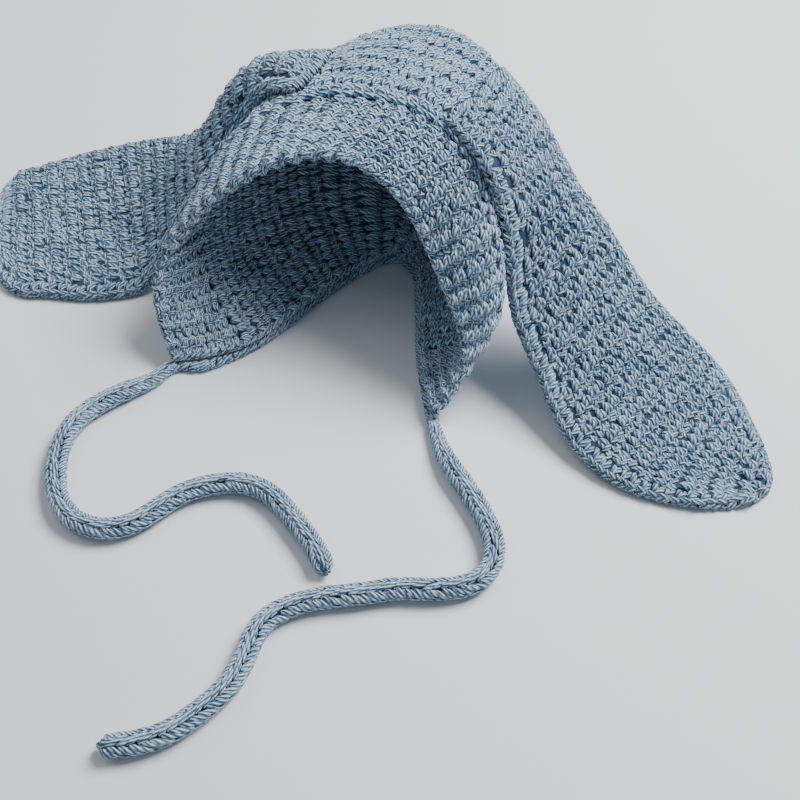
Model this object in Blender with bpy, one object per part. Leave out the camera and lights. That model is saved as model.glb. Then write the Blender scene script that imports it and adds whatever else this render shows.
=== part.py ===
"""Crochet bunny-ear bonnet, standing on its neck edge with the face opening toward -Y.

Every table is in centimetres, in the bonnet's own directions: X to the right seen from the face
opening, Y toward the back of the head, Z up from the surface that it stands on. SHIFT_X and
SHIFT_Y carry the middle of the whole outline (without the ties) to the origin.
"""

import bmesh
import bpy
import numpy as np

CM = 0.01
SHIFT_X = -0.837
SHIFT_Y = -8.878

# The fabric.
BRIM_THICK = 0.50
CROWN_THICK = 0.46
EAR_THICK = 0.56
PIECE_GAP = 0.055

# The ribbed brim: its depth from the face edge, and the ridges that run across it.
BRIM_DEPTH = 4.4
BRIM_RIBS = 35
BRIM_RIB_DEPTH = 0.07
BRIM_STEPS_A_RIB = 4
BRIM_ROWS = 3
# Share of the brim's depth, at the crown, over which the ribs fade into the flat edge.
BRIM_FADE = 0.25

# The crown's mesh: spans round a hoop and spans from the brim to the back seam.
CROWN_SPANS = 70
CROWN_ROWS = 9
# Crowds the rows of faces toward the back seam, where the fabric turns most.
CROWN_CROWDING = 1.0

# The shell, a row for each hoop of the fabric: how far the hoop lies from the face edge along the
# fabric, then nine points of it from the left foot over the top to the right foot.
HOOPS = [
    # from_edge, foot_l, low_l, side_l, shoulder_l, top, shoulder_r, side_r, low_r, foot_r
    (
        0.0,
        (-7.80, 0.00, 0.88), (-9.35, 2.75, 4.30), (-7.89, 4.64, 7.02),
        (-4.50, 6.55, 9.85), (0.67, 7.62, 11.28), (4.00, 6.75, 10.00),
        (6.84, 4.62, 7.00), (8.88, 1.93, 3.16), (7.80, 0.00, 0.88),
    ),
    (
        4.4,
        (-4.30, 2.10, 0.88), (-7.60, 5.20, 3.40), (-7.90, 7.60, 6.60),
        (-5.00, 10.40, 10.60), (0.50, 11.75, 12.00), (6.00, 10.00, 11.60),
        (8.85, 6.92, 8.75), (9.70, 4.25, 4.20), (6.00, 4.20, 0.88),
    ),
    (
        7.7,
        (-2.50, 5.00, 0.88), (-6.00, 7.80, 3.60), (-6.60, 10.40, 7.00),
        (-4.60, 13.40, 10.90), (1.20, 14.80, 12.40), (7.00, 12.90, 11.50),
        (8.75, 9.85, 8.50), (8.70, 6.85, 4.40), (5.10, 7.40, 0.88),
    ),
    (
        10.6,
        (-1.00, 8.00, 0.88), (-3.90, 10.60, 3.60), (-4.80, 13.20, 7.20),
        (-3.30, 16.00, 10.80), (1.90, 17.50, 12.40), (7.00, 16.30, 11.30),
        (8.30, 13.00, 8.20), (7.40, 9.80, 4.20), (4.40, 9.80, 0.88),
    ),
    (
        13.0,
        (0.60, 10.40, 0.88), (-1.20, 12.90, 3.60), (-1.80, 15.40, 7.20),
        (-0.60, 18.00, 10.60), (2.30, 19.10, 12.00), (5.50, 18.00, 10.90),
        (6.00, 15.40, 7.20), (5.20, 12.40, 3.60), (3.50, 11.40, 0.88),
    ),
    (
        14.5,
        (2.10, 11.90, 0.88), (2.20, 14.40, 3.60), (2.30, 16.80, 7.20),
        (2.40, 18.90, 10.00), (2.40, 19.50, 11.20), (2.40, 18.90, 10.00),
        (2.30, 16.80, 7.20), (2.20, 14.40, 3.60), (2.10, 11.90, 0.88),
    ),
]

# The ears, a row for each crosswise section from the root to the tip: its front edge, its crest
# and its back edge, then how thick the fabric is there as a share of EAR_THICK.
EAR_RIGHT = [
    # front, crest, back, thickness
    ((5.66, 10.72, 12.46), (6.79, 14.05, 12.19), (7.33, 16.80, 11.66), 0.6),
    ((7.14, 9.60, 11.88), (8.85, 12.50, 11.65), (9.95, 13.95, 11.15), 0.9),
    ((8.78, 8.24, 10.50), (10.75, 10.50, 9.80), (12.38, 12.23, 8.85), 1.0),
    ((10.14, 6.95, 7.50), (11.75, 9.35, 8.05), (13.72, 11.55, 7.60), 1.0),
    ((10.95, 5.26, 5.00), (13.10, 8.12, 6.15), (15.12, 10.97, 6.30), 1.0),
    ((12.97, 3.00, 2.70), (15.38, 6.18, 3.85), (17.78, 9.35, 4.00), 1.0),
    ((15.06, 0.51, 1.10), (18.04, 4.27, 2.05), (21.01, 8.03, 2.00), 1.0),
    ((17.85, -1.38, 0.45), (20.74, 2.32, 0.85), (23.64, 6.01, 0.90), 1.0),
    ((21.04, -1.90, 0.28), (23.22, 0.64, 0.45), (25.39, 3.19, 0.40), 1.0),
    ((23.99, -1.42, 0.28), (25.02, -0.04, 0.30), (26.06, 1.34, 0.28), 1.0),
    ((25.30, -0.85, 0.28), (25.75, -0.30, 0.28), (26.20, 0.25, 0.28), 0.9),
]
EAR_LEFT = [
    ((-3.62, 11.74, 11.93), (-2.92, 13.30, 12.21), (-2.62, 15.10, 12.24), 0.6),
    ((-5.72, 12.20, 10.90), (-5.84, 13.08, 11.76), (-5.98, 14.68, 11.54), 0.9),
    ((-7.44, 11.12, 8.12), (-7.99, 12.30, 9.54), (-8.60, 14.59, 9.10), 1.0),
    ((-8.85, 8.75, 5.60), (-9.95, 11.40, 6.50), (-10.77, 14.01, 5.80), 1.0),
    ((-10.60, 7.20, 2.80), (-12.20, 11.00, 4.00), (-13.79, 14.60, 4.00), 1.0),
    ((-11.90, 5.20, 0.60), (-14.30, 10.00, 2.30), (-16.70, 14.60, 2.90), 1.0),
    ((-13.60, 4.10, 0.30), (-16.40, 9.30, 1.60), (-19.10, 14.20, 2.10), 1.0),
    ((-15.88, 3.37, 0.28), (-18.56, 8.70, 1.20), (-21.10, 13.60, 1.50), 1.0),
    ((-18.19, 3.00, 0.28), (-20.75, 8.00, 0.80), (-23.20, 12.60, 1.00), 1.0),
    ((-20.31, 3.14, 0.28), (-22.38, 7.42, 0.45), (-24.46, 11.69, 0.40), 1.0),
    ((-22.02, 4.67, 0.28), (-23.18, 6.76, 0.30), (-24.35, 8.85, 0.28), 1.0),
]
EAR_RIDGES = 23
EAR_RIDGE_DEPTH = 0.05
EAR_STEPS_A_RIDGE = 3
EAR_COLUMNS = 7

# The rope edging that the bonnet stands on: its width, its height and the way it runs.
EDGING_WIDTH = 0.80
EDGING_HEIGHT = 0.56
EDGING_SPANS = 64
EDGING_ROUTE = [
    (-8.05, -0.62), (-7.55, -0.08), (-6.60, 0.12), (-5.40, 0.95), (-4.30, 2.10), (-2.50, 5.00),
    (-1.00, 8.00), (0.60, 10.40), (2.10, 11.75), (3.50, 11.30), (4.40, 9.80), (5.10, 7.40),
    (6.00, 4.20), (7.10, 1.40), (7.65, 0.10), (7.95, -0.62),
]

# The ties, laid on the surface: the way each runs from the edging to its free end.
TIE_RADIUS = 0.60
TIE_ROOT_SHARE = 0.62
TIE_TAPER_LENGTH = 3.5
TIE_POINTS = 58
TIE_LEFT_ROUTE = [
    (-8.12, -0.70), (-8.40, -1.35), (-9.20, -2.40), (-10.38, -3.75), (-11.37, -5.47),
    (-11.45, -7.47), (-10.90, -9.15), (-10.00, -10.60), (-8.59, -11.55), (-7.05, -11.65),
    (-5.82, -11.10), (-3.93, -8.66), (-2.57, -7.64), (-1.28, -7.15), (0.09, -7.17),
    (1.36, -7.74), (2.62, -8.67), (3.83, -9.70), (4.95, -10.95),
]
TIE_RIGHT_ROUTE = [
    (8.00, -0.72), (8.50, -1.60), (9.42, -2.95), (10.68, -4.28), (12.01, -5.85),
    (12.77, -7.14), (12.92, -8.31), (12.41, -9.51), (11.44, -10.18), (10.01, -10.65),
    (8.79, -10.95), (6.97, -11.75), (4.99, -12.56), (3.74, -13.40), (2.81, -14.57),
    (2.61, -15.99), (2.50, -17.37), (2.05, -18.64), (1.29, -19.84), (0.36, -20.93),
    (-0.73, -21.65), (-2.20, -22.25),
]

YARN_COLOUR = (0.165, 0.265, 0.365, 1.0)
YARN_ROUGHNESS = 0.85

# How finely the curves are read, and the step over which a slope is taken.
FINE = 600
NUDGE = 0.05
SEAM_WELD = 0.01


def natural(knots, values, at):
    """The natural cubic spline through values at knots, read at the parameters given."""
    knots = np.asarray(knots, float)
    values = np.asarray(values, float)
    count = len(knots)
    step = np.diff(knots)
    shape = (-1,) + (1,) * (values.ndim - 1)
    matrix = np.eye(count)
    right = np.zeros_like(values)
    for i in range(1, count - 1):
        matrix[i, i - 1] = step[i - 1]
        matrix[i, i] = 2 * (step[i - 1] + step[i])
        matrix[i, i + 1] = step[i]
        rise = (values[i + 1] - values[i]) / step[i]
        right[i] = 6 * (rise - (values[i] - values[i - 1]) / step[i - 1])
    bend = np.linalg.solve(matrix, right.reshape(count, -1)).reshape(values.shape)
    at = np.asarray(at, float)
    j = np.clip(np.searchsorted(knots, at, side="right") - 1, 0, count - 2)
    width = step[j].reshape(shape)
    a = ((knots[j + 1] - at) / step[j]).reshape(shape)
    b = 1 - a
    sag = ((a**3 - a) * bend[j] + (b**3 - b) * bend[j + 1]) * width**2 / 6
    return a * values[j] + b * values[j + 1] + sag


def even_points(route, count):
    """count points at even steps along the smooth curve through the route's points."""
    route = np.asarray(route, float)
    knots = np.r_[0, np.cumsum(np.linalg.norm(np.diff(route, axis=0), axis=1))]
    fine = natural(knots, route, np.linspace(0, knots[-1], FINE))
    length = np.r_[0, np.cumsum(np.linalg.norm(np.diff(fine, axis=0), axis=1))]
    steps = np.linspace(0, length[-1], count)
    return np.stack([np.interp(steps, length, fine[:, c]) for c in range(route.shape[1])], -1)


def shell(spans, from_edge):
    """The shell's middle surface and its unit normals: rows at the distances given, columns round."""
    hoops = np.array([even_points(row[1:], spans + 1) for row in HOOPS])
    knots = [row[0] for row in HOOPS]
    from_edge = np.asarray(from_edge)
    grid = natural(knots, hoops, from_edge)
    before = natural(knots, hoops, from_edge - NUDGE)
    after = natural(knots, hoops, from_edge + NUDGE)
    normal = np.cross(np.gradient(grid, axis=1), after - before)
    return grid, normal / np.linalg.norm(normal, axis=-1, keepdims=True)


def ear_grid(sections, rows, columns):
    """Points of an ear's middle surface and its thickness share, root to tip."""
    across = np.array([even_points(row[:3], columns) for row in sections])
    middle = across[:, columns // 2]
    knots = np.r_[0, np.cumsum(np.linalg.norm(np.diff(middle, axis=0), axis=1))]
    at = np.linspace(0, knots[-1], rows)
    share = np.interp(at, knots, [row[3] for row in sections])
    return natural(knots, across, at), share


def grid_normals(grid):
    """Unit normals of a grid of points, from its differences along rows and columns."""
    along = np.gradient(grid, axis=0)
    across = np.gradient(grid, axis=1)
    normal = np.cross(across, along)
    return normal / np.maximum(np.linalg.norm(normal, axis=-1, keepdims=True), 1e-9)


def world(points):
    """Table centimetres to metres about the origin."""
    points = np.array(points, float)
    points[..., 0] += SHIFT_X
    points[..., 1] += SHIFT_Y
    return points * CM


def yarn(name):
    material = bpy.data.materials.new(name)
    material.use_nodes = True
    shader = material.node_tree.nodes["Principled BSDF"]
    shader.inputs["Base Color"].default_value = YARN_COLOUR
    shader.inputs["Roughness"].default_value = YARN_ROUGHNESS
    return material


def slab(name, grid, normal, thickness, collection, seamed=False):
    """A sheet of fabric lofted about its middle surface: both faces and the rim round them. The
    rim leaves out the last row of a seamed sheet, whose two halves are then joined."""
    rows, columns = grid.shape[:2]
    half = np.broadcast_to(thickness / 2, grid.shape[:2])[..., None] * normal
    points = world(np.stack([grid + half, grid - half]))
    index = np.arange(2 * rows * columns).reshape(2, rows, columns)
    corners = (index[:, :-1, :-1], index[:, :-1, 1:], index[:, 1:, 1:], index[:, 1:, :-1])
    outer, inner = np.stack([c.reshape(2, -1) for c in corners], -1)
    top, low = index
    rim = np.r_[top[0, :-1], top[:-1, -1], top[-1, :0:-1], top[:0:-1, 0]]
    under = np.r_[low[0, :-1], low[:-1, -1], low[-1, :0:-1], low[:0:-1, 0]]
    side = np.stack([rim, under, np.roll(under, -1), np.roll(rim, -1)], -1)
    if seamed:
        corner = columns + rows - 2
        side = np.delete(side, np.arange(corner, corner + columns - 1), axis=0)
    faces = np.r_[outer, inner[:, ::-1], side]
    mesh = bpy.data.meshes.new(name)
    mesh.from_pydata(points.reshape(-1, 3).tolist(), [], faces.tolist())
    mesh.materials.append(yarn(name + "_yarn"))
    obj = bpy.data.objects.new(name, mesh)
    collection.objects.link(obj)
    return obj


def close_seam(obj):
    """Joins the two halves of the last hoop."""
    work = bmesh.new()
    work.from_mesh(obj.data)
    bmesh.ops.remove_doubles(work, verts=work.verts, dist=SEAM_WELD * CM)
    bmesh.ops.recalc_face_normals(work, faces=work.faces)
    work.to_mesh(obj.data)
    work.free()


def lay_down(obj):
    """Flattens what would reach below the surface that the fabric lies on."""
    co = np.empty(len(obj.data.vertices) * 3)
    obj.data.vertices.foreach_get("co", co)
    co[2::3] = np.maximum(co[2::3], 0)
    obj.data.vertices.foreach_set("co", co)


def add_brim(collection):
    last = BRIM_DEPTH - PIECE_GAP / 2
    from_edge = last * np.r_[np.linspace(0, 1 - BRIM_FADE, BRIM_ROWS), 1]
    spans = BRIM_RIBS * BRIM_STEPS_A_RIB
    grid, normal = shell(spans, from_edge)
    phase = np.linspace(0, 2 * np.pi * BRIM_RIBS, spans + 1)
    height = np.r_[np.ones(BRIM_ROWS), 0]
    wave = BRIM_RIB_DEPTH * np.cos(phase)[None, :] * height[:, None]
    slab("brim", grid + normal * wave[..., None], normal, BRIM_THICK, collection)


def add_crown(collection):
    first, last = BRIM_DEPTH + PIECE_GAP / 2, HOOPS[-1][0]
    share = np.sin(np.linspace(0, np.pi / 2, CROWN_ROWS + 1)) ** CROWN_CROWDING
    grid, normal = shell(CROWN_SPANS, first + (last - first) * share)
    normal[-1] += normal[-1, ::-1]
    normal /= np.linalg.norm(normal, axis=-1, keepdims=True)
    close_seam(slab("crown", grid, normal, CROWN_THICK, collection, seamed=True))


def add_ear(name, sections, collection):
    rows = EAR_RIDGES * EAR_STEPS_A_RIDGE + 1
    grid, share = ear_grid(sections, rows, EAR_COLUMNS)
    normal = grid_normals(grid)
    phase = np.linspace(0, 2 * np.pi * EAR_RIDGES, rows)
    wave = EAR_RIDGE_DEPTH * np.cos(phase)[:, None, None]
    lay_down(slab(name, grid + normal * wave, normal, EAR_THICK * share[:, None], collection))


def poly_curve(name, points, radii, collection, cyclic=False):
    curve = bpy.data.curves.new(name, "CURVE")
    curve.dimensions = "3D"
    spline = curve.splines.new("POLY")
    spline.points.add(len(points) - 1)
    spline.points.foreach_set("co", np.c_[points, np.ones(len(points))].ravel())
    spline.points.foreach_set("radius", radii)
    spline.use_cyclic_u = cyclic
    obj = bpy.data.objects.new(name, curve)
    collection.objects.link(obj)
    return obj


def add_edging(collection, guides):
    """A rope with a flat foot, its outline carried along the neck edge."""
    half, top = EDGING_WIDTH / 2, EDGING_HEIGHT
    outline = np.array(
        [
            (-half, top * 0.3), (-half, top * 0.65), (-half * 0.5, top), (half * 0.5, top),
            (half, top * 0.65), (half, top * 0.3), (half * 0.6, 0), (-half * 0.6, 0),
        ]
    )
    flat = np.c_[outline * CM, np.zeros(len(outline))]
    profile = poly_curve("edging_outline", flat, np.ones(len(flat)), guides, cyclic=True)
    profile.data.dimensions = "2D"
    profile.hide_render = True
    route = even_points(EDGING_ROUTE, EDGING_SPANS + 1)
    path = world(np.c_[route, np.zeros(len(route))])
    edging = poly_curve("neck_edging", path, np.ones(len(path)), collection)
    edging.data.twist_mode = "Z_UP"
    edging.data.bevel_mode = "OBJECT"
    edging.data.bevel_object = profile
    edging.data.use_fill_caps = True
    edging.data.materials.append(yarn("neck_edging_yarn"))


def add_tie(name, route, collection):
    """A round tie on the surface, thinner where it leaves the edging."""
    points = even_points(route, TIE_POINTS)
    length = np.r_[0, np.cumsum(np.linalg.norm(np.diff(points, axis=0), axis=1))]
    part = np.clip(length / TIE_TAPER_LENGTH, 0, 1)
    share = TIE_ROOT_SHARE + (1 - TIE_ROOT_SHARE) * part * part * (3 - 2 * part)
    path = world(np.c_[points, TIE_RADIUS * share])
    tie = poly_curve(name, path, share, collection)
    tie.data.bevel_depth = TIE_RADIUS * CM
    tie.data.bevel_resolution = 2
    tie.data.use_fill_caps = True
    tie.data.materials.append(yarn(name + "_yarn"))


def main():
    for obj in list(bpy.data.objects):
        bpy.data.objects.remove(obj)
    bonnet = bpy.data.collections.new("bonnet")
    guides = bpy.data.collections.new("guides")
    bpy.context.scene.collection.children.link(bonnet)
    bpy.context.scene.collection.children.link(guides)
    guides.hide_render = True
    root = bpy.data.objects.new("bonnet_origin", None)
    bonnet.objects.link(root)
    add_brim(bonnet)
    add_crown(bonnet)
    add_edging(bonnet, guides)
    add_ear("ear_left", EAR_LEFT, bonnet)
    add_ear("ear_right", EAR_RIGHT, bonnet)
    add_tie("tie_left", TIE_LEFT_ROUTE, bonnet)
    add_tie("tie_right", TIE_RIGHT_ROUTE, bonnet)
    for piece in bonnet.objects:
        if piece is not root:
            piece.parent = root


main()
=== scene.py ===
import bpy
import numpy as np
from mathutils import Matrix

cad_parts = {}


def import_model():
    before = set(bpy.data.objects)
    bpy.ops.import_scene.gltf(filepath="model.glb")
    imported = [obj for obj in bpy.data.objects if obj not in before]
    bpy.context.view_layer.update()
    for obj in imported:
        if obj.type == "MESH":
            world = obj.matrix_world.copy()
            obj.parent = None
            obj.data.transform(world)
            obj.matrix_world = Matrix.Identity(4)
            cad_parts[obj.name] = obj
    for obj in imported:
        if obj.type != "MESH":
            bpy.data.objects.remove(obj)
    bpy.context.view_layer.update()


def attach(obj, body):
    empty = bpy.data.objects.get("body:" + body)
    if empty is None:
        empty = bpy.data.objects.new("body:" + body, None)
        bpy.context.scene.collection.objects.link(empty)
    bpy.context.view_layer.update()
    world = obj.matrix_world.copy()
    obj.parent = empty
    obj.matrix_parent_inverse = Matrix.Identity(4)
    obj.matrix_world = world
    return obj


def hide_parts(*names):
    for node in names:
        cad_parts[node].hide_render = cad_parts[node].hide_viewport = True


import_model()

# Every table is in centimetres in the bonnet's own directions: X to the right seen from the face
# opening, Y toward the back of the head, Z up from the surface that it lies on. SHIFT_X and SHIFT_Y
# carry them to the frame's origin.
CM = 0.01
SHIFT_X = -0.837
SHIFT_Y = -8.878

# The camera: where it stands, the place on the floor in the middle of its view, and its lens. The
# places are in metres in the frame, the lens and the sensor in millimetres.
CAMERA_AT = (0.1475, -0.4467, 0.4886)
CAMERA_AIM = (0.0469, -0.0785, 0.0)
CAMERA_LENS = 48.6
CAMERA_SENSOR = 36.0
CAMERA_NEAR = 0.01

# The cloth: half of its thickness, and the share of it that the plain core inside takes.
BRIM_HALF = 0.25
CROWN_HALF = 0.23
EAR_HALF = 0.28
CORE_SHARE = 0.55
EAR_CORE_SHARE = 0.72
FLOOR_CLEAR = 0.015

# The yarn: its radius, its share of that at the ends of a strand and the power by which it fills
# out, the range of its thickness, and how far strands and stitches stray from their places, which
# is so many times as far where they are worked loosely.
YARN_RADIUS = 0.15
CROWN_YARN = 0.155
EAR_YARN = 0.165
STRAND_END = 0.72
STRAND_POWER = 0.6
THICKNESS_RANGE = (0.92, 1.08)
LEG_JITTER = (0.06, 0.055, 0.07)
STITCH_JITTER = (0.07, 0.05, 0.06)
CROWN_LOOSE = 1.2
EAR_LOOSE = 1.3
WRAP_LOOSE = 2.6

# A strand's rings and sides, those of the strands that are seen less, the corners of the faces that
# close its ends, the length of yarn along which its twist may begin, how much nearer or deeper its
# own round makes it for the painted shade of its colour, and the most that counts.
STRAND_SPANS = 3
STRAND_SIDES = 6
INNER_SIDES = 4
CAP_CORNERS = {4: [[0, 1, 2, 3]], 6: [[0, 1, 2, 3], [0, 3, 4, 5]]}
SKEIN_LENGTH = 50
ROUND_DEPTH = 0.4
MOST_DEPTH = 1.3

# The rows and the stitches.
BRIM_DEPTH = 4.4
BRIM_RIBS = 35
BRIM_RIB_DEPTH = 0.17
BRIM_STITCHES = 8
CROWN_FIRST = 4.43
CROWN_ROWS = 18
CROWN_STITCH = 0.54
CHAIN_AT = 4.74
CHAIN_STITCH = 0.66
EAR_RIDGES = 23
RIDGE_DEPTH_LEFT = 0.06
RIDGE_DEPTH_RIGHT = 0.19
RIDGE_FADE = 4
EAR_STITCH = 0.52
EAR_BORDER = 0.72
EAR_HOLE = 0.26
EAR_HOLE_ROWS = 4
BORDER_STITCH = 0.60
ROW_STAGGER = 0.25

# Ropes and wrapped edges: the strands round them and along them, and how far they stop short of
# the ends, in stitches. The strands that wrap an edge go past its ends. They stand off its line by
# a share of the cloth's half thickness, and the lower edges' line hangs a little below the wall.
ROPE_COLUMNS = 6
ROPE_STITCH = 0.46
ROPE_INSET = 0.30
WRAP_COLUMNS = 4
WRAP_STITCH = 0.30
WRAP_INSET = -0.60
EDGE_SHARE = 0.55
FOOT_DROP = 0.05

# Each ear's edge is fuller beside the brim: how much, how far from the root, over what length.
# It hangs lower there, by so many times as much.
SWELL_LEFT = (0.19, 3.9, 1.7)
SWELL_RIGHT = (0.14, 8.4, 2.6)
SWELL_DROP = 1.5
# How far an ear's rows lean toward its root, over its whole width, as a share of its length.
SKEW_LEFT = 0.0
SKEW_RIGHT = 0.075

# The shell, a row for each hoop of the fabric: how far the hoop lies from the face edge along the
# fabric, then nine points of it from the left foot over the top to the right foot.
HOOPS = [
    # from_edge, foot_l, low_l, side_l, shoulder_l, top, shoulder_r, side_r, low_r, foot_r
    (
        0.0,
        (-7.80, 0.00, 0.88), (-9.35, 2.75, 4.30), (-7.89, 4.64, 7.02),
        (-4.50, 6.55, 9.85), (0.67, 7.62, 11.28), (4.00, 6.75, 10.00),
        (6.84, 4.62, 7.00), (8.88, 1.93, 3.16), (7.80, 0.00, 0.88),
    ),
    (
        4.4,
        (-4.30, 2.10, 0.88), (-7.60, 5.20, 3.40), (-7.90, 7.60, 6.60),
        (-5.00, 10.40, 10.60), (0.50, 11.75, 12.00), (6.00, 10.00, 11.60),
        (8.85, 6.92, 8.75), (9.70, 4.25, 4.20), (6.00, 4.20, 0.88),
    ),
    (
        7.7,
        (-2.50, 5.00, 0.88), (-6.00, 7.80, 3.60), (-6.60, 10.40, 7.00),
        (-4.60, 13.40, 10.90), (1.20, 14.80, 12.40), (7.00, 12.90, 11.50),
        (8.75, 9.85, 8.50), (8.70, 6.85, 4.40), (5.10, 7.40, 0.88),
    ),
    (
        10.6,
        (-1.00, 8.00, 0.88), (-3.90, 10.60, 3.60), (-4.80, 13.20, 7.20),
        (-3.30, 16.00, 10.80), (1.90, 17.50, 12.40), (7.00, 16.30, 11.30),
        (8.30, 13.00, 8.20), (7.40, 9.80, 4.20), (4.40, 9.80, 0.88),
    ),
    (
        13.0,
        (0.60, 10.40, 0.88), (-1.20, 12.90, 3.60), (-1.80, 15.40, 7.20),
        (-0.60, 18.00, 10.60), (2.30, 19.10, 12.00), (5.50, 18.00, 10.90),
        (6.00, 15.40, 7.20), (5.20, 12.40, 3.60), (3.50, 11.40, 0.88),
    ),
    (
        14.5,
        (2.10, 11.90, 0.88), (2.20, 14.40, 3.60), (2.30, 16.80, 7.20),
        (2.40, 18.90, 10.00), (2.40, 19.50, 11.20), (2.40, 18.90, 10.00),
        (2.30, 16.80, 7.20), (2.20, 14.40, 3.60), (2.10, 11.90, 0.88),
    ),
]

# The ears, a row for each crosswise section from the root to the tip: its front edge, its crest
# and its back edge, then how thick the fabric is there as a share of the ear's thickness.
EAR_RIGHT = [
    # front, crest, back, thickness
    ((5.66, 10.72, 12.46), (6.79, 14.05, 12.19), (7.33, 16.80, 11.66), 0.6),
    ((7.14, 9.60, 11.88), (8.85, 12.50, 11.65), (9.95, 13.95, 11.15), 0.9),
    ((8.78, 8.24, 10.50), (10.75, 10.50, 9.80), (12.38, 12.23, 8.85), 1.0),
    ((10.14, 6.95, 7.50), (11.75, 9.35, 8.05), (13.72, 11.55, 7.60), 1.0),
    ((10.95, 5.26, 5.00), (13.10, 8.12, 6.15), (15.12, 10.97, 6.30), 1.0),
    ((12.97, 3.00, 2.70), (15.38, 6.18, 3.85), (17.78, 9.35, 4.00), 1.0),
    ((15.06, 0.51, 1.10), (18.04, 4.27, 2.05), (21.01, 8.03, 2.00), 1.0),
    ((17.85, -1.38, 0.45), (20.74, 2.32, 0.85), (23.64, 6.01, 0.90), 1.0),
    ((21.04, -1.90, 0.28), (23.22, 0.64, 0.45), (25.39, 3.19, 0.40), 1.0),
    ((23.99, -1.42, 0.28), (25.02, -0.04, 0.30), (26.06, 1.34, 0.28), 1.0),
    ((25.30, -0.85, 0.28), (25.75, -0.30, 0.28), (26.20, 0.25, 0.28), 0.9),
]
EAR_LEFT = [
    ((-3.62, 11.74, 11.93), (-2.92, 13.30, 12.21), (-2.62, 15.10, 12.24), 0.6),
    ((-5.72, 12.20, 10.90), (-5.84, 13.08, 11.76), (-5.98, 14.68, 11.54), 0.9),
    ((-7.44, 11.12, 8.12), (-7.99, 12.30, 9.54), (-8.60, 14.59, 9.10), 1.0),
    ((-8.85, 8.75, 5.60), (-9.95, 11.40, 6.50), (-10.77, 14.01, 5.80), 1.0),
    ((-10.60, 7.20, 2.80), (-12.20, 11.00, 4.00), (-13.79, 14.60, 4.00), 1.0),
    ((-11.90, 5.20, 0.60), (-14.30, 10.00, 2.30), (-16.70, 14.60, 2.90), 1.0),
    ((-13.60, 4.10, 0.30), (-16.40, 9.30, 1.60), (-19.10, 14.20, 2.10), 1.0),
    ((-15.88, 3.37, 0.28), (-18.56, 8.70, 1.20), (-21.10, 13.60, 1.50), 1.0),
    ((-18.19, 3.00, 0.28), (-20.75, 8.00, 0.80), (-23.20, 12.60, 1.00), 1.0),
    ((-20.31, 3.14, 0.28), (-22.38, 7.42, 0.45), (-24.46, 11.69, 0.40), 1.0),
    ((-22.02, 4.67, 0.28), (-23.18, 6.76, 0.30), (-24.35, 8.85, 0.28), 1.0),
]

# The rope edging that the bonnet stands on, and the ties. A tie is thinner at its root, as far as
# its taper goes, and is rounded off at its end, where more strands are tucked in round its last few
# points, nearer to its middle.
EDGING_HALF_WIDTH = 0.40
EDGING_HEIGHT = 0.56
EDGING_YARN_SHARE = 0.6
EDGING_CORE_SHARE = 0.9
EDGING_ROUTE = [
    (-8.05, -0.62), (-7.55, -0.08), (-6.60, 0.12), (-5.40, 0.95), (-4.30, 2.10), (-2.50, 5.00),
    (-1.00, 8.00), (0.60, 10.40), (2.10, 11.75), (3.50, 11.30), (4.40, 9.80), (5.10, 7.40),
    (6.00, 4.20), (7.10, 1.40), (7.65, 0.10), (7.95, -0.62),
]
TIE_RADIUS = 0.60
TIE_ROOT_SHARE = 0.62
TIE_TAPER_LENGTH = 3.5
TIE_POINTS = 58
TIE_FINER = 5
TIE_END = 0.45
TIE_END_LEAST = 0.01
TIE_CORE_SHARE = 0.85
TIE_TIP = 9
TIP_SHARE = 0.72
TIE_LEFT_ROUTE = [
    (-8.12, -0.70), (-8.40, -1.35), (-9.20, -2.40), (-10.38, -3.75), (-11.37, -5.47),
    (-11.45, -7.47), (-10.90, -9.15), (-10.00, -10.60), (-8.59, -11.55), (-7.05, -11.65),
    (-5.82, -11.10), (-3.93, -8.66), (-2.57, -7.64), (-1.28, -7.15), (0.09, -7.17),
    (1.36, -7.74), (2.62, -8.67), (3.83, -9.70), (4.95, -10.95),
]
TIE_RIGHT_ROUTE = [
    (8.00, -0.72), (8.50, -1.60), (9.42, -2.95), (10.68, -4.28), (12.01, -5.85),
    (12.77, -7.14), (12.92, -8.31), (12.41, -9.51), (11.44, -10.18), (10.01, -10.65),
    (8.79, -10.95), (6.97, -11.75), (4.99, -12.56), (3.74, -13.40), (2.81, -14.57),
    (2.61, -15.99), (2.50, -17.37), (2.05, -18.64), (1.29, -19.84), (0.36, -20.93),
    (-0.73, -21.65), (-2.20, -22.25),
]

# The strands of a stitch. Each runs through three places, given along the row in stitches, up the
# row in rows, and out from the middle of the cloth in shares of its half thickness, which also sets
# how much painted shade it takes, and the last number is its thickness as a share of the yarn's.
# Round a rope or an edge the way out only tells how much painted shade a strand takes.
STITCH_FRONT = [
    # start, middle, end, thickness
    ((0.12, -0.62, 0.30), (-0.18, -0.04, 0.92), (-0.22, 0.56, 0.45), 1.05),
    ((-0.06, -0.58, 0.30), (0.24, 0.00, 0.97), (0.36, 0.56, 0.45), 1.05),
    ((-0.62, 0.34, 0.35), (0.00, 0.52, 0.92), (0.60, 0.48, 0.30), 0.90),
]
STITCH_BACK = [
    ((-0.36, -0.55, 0.20), (-0.16, -0.05, 0.72), (0.08, 0.55, 0.35), 1.0),
    ((0.20, -0.55, 0.20), (0.32, -0.05, 0.68), (0.18, 0.55, 0.35), 1.0),
    ((-0.60, -0.08, 0.25), (0.00, 0.14, 0.80), (0.60, 0.12, 0.25), 0.90),
]
STITCH_INSIDE = [
    ((0.04, -0.60, 0.30), (-0.22, -0.05, 0.84), (-0.27, 0.52, 0.45), 1.15),
    ((-0.04, -0.56, 0.30), (0.22, -0.02, 0.84), (0.27, 0.55, 0.45), 1.15),
]
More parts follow.
